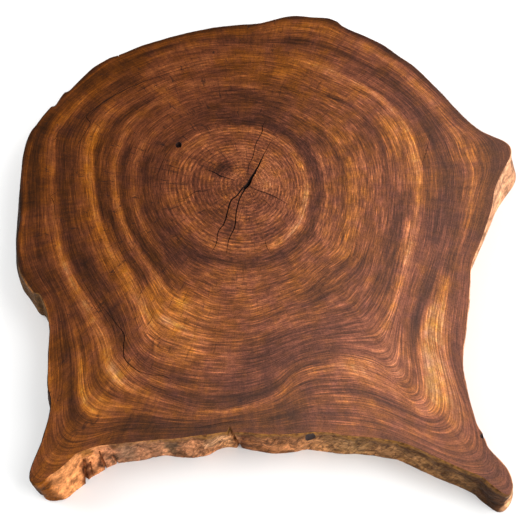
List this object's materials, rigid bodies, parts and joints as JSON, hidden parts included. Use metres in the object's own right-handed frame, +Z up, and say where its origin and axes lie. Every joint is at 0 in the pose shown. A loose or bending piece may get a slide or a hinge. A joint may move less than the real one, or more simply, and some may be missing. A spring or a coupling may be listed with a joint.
{
  "type": "live-edge wood slab",
  "caption": "Thick live-edge slab sawn across a sapele trunk, with flat oiled faces, drying checks at the pith and root flares round its edge.",
  "frame": {"origin": "middle of the slab's bounding box, on its underside", "axes": "+Z up out of the finished upper face, +X towards the shoulder root on the slab's right, +Y away from the two feet, towards the rounded back"},
  "size_m": [0.956, 0.971, 0.1],
  "materials": {
    "oiled_sapele": "satin hardwax oil on the sawn faces, bare peeled wood round the live edge"
  },
  "bodies": {
    "root": {"sapele_slab": "oiled_sapele"}
  },
  "joints": []
}
